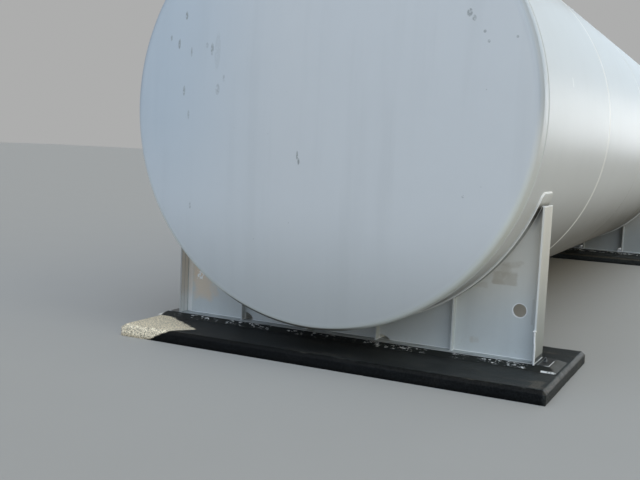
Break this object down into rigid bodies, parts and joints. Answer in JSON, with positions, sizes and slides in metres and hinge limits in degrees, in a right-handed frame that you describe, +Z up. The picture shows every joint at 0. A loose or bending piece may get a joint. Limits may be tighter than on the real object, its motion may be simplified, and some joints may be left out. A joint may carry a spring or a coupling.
{
  "type": "horizontal storage tank",
  "caption": "Horizontal cylindrical steel storage tank with shallow dished heads, lying on two ribbed saddles bolted to concrete plinths.",
  "frame": {"origin": "on the ground, under the middle of the tank, at the plinths' undersides", "axes": "+Z up, the tank's axis along Y, its front head facing -Y, +X to the right of someone facing that head"},
  "size_m": [3.94, 11.643, 4.352],
  "materials": {
    "white_paint": "semi-gloss, weathered",
    "saddle_paint": "satin, stained",
    "galvanised_steel": "dull",
    "concrete": "rough, damp"
  },
  "bodies": {
    "root": {"front_head": "white_paint", "shell_strake_1": "white_paint", "shell_strake_2": "white_paint", "shell_strake_3": "white_paint", "shell_strake_4": "white_paint", "rear_head": "white_paint", "manway_neck": "white_paint", "manway_cover": "white_paint", "fill_nozzle": "white_paint", "fill_cover": "white_paint", "dip_pipe": "white_paint", "dip_cap": "galvanised_steel", "vent_pipe": "white_paint", "vent_cowl": "white_paint", "front_lifting_lug": "white_paint", "front_saddle_web": "saddle_paint", "front_saddle_wear_plate": "saddle_paint", "front_saddle_left_flange": "saddle_paint", "front_saddle_right_flange": "saddle_paint", "front_saddle_outer_rib_1": "saddle_paint", "front_saddle_outer_rib_2": "saddle_paint", "front_saddle_outer_rib_3": "saddle_paint", "front_saddle_outer_rib_4": "saddle_paint", "front_saddle_inner_rib_1": "saddle_paint", "front_saddle_inner_rib_2": "saddle_paint", "front_saddle_inner_rib_3": "saddle_paint", "front_saddle_inner_rib_4": "saddle_paint", "front_plinth": "concrete", "front_grout_bed": "concrete", "front_base_plate": "saddle_paint", "rear_lifting_lug": "white_paint", "rear_saddle_web": "saddle_paint", "rear_saddle_wear_plate": "saddle_paint", "rear_saddle_left_flange": "saddle_paint", "rear_saddle_right_flange": "saddle_paint", "rear_saddle_outer_rib_1": "saddle_paint", "rear_saddle_outer_rib_2": "saddle_paint", "rear_saddle_outer_rib_3": "saddle_paint", "rear_saddle_outer_rib_4": "saddle_paint", "rear_saddle_inner_rib_1": "saddle_paint", "rear_saddle_inner_rib_2": "saddle_paint", "rear_saddle_inner_rib_3": "saddle_paint", "rear_saddle_inner_rib_4": "saddle_paint", "rear_plinth": "concrete", "rear_grout_bed": "concrete", "rear_base_plate": "saddle_paint", "earth_lug": "galvanised_steel", "earth_wire": "white_paint"}
  },
  "joints": []
}
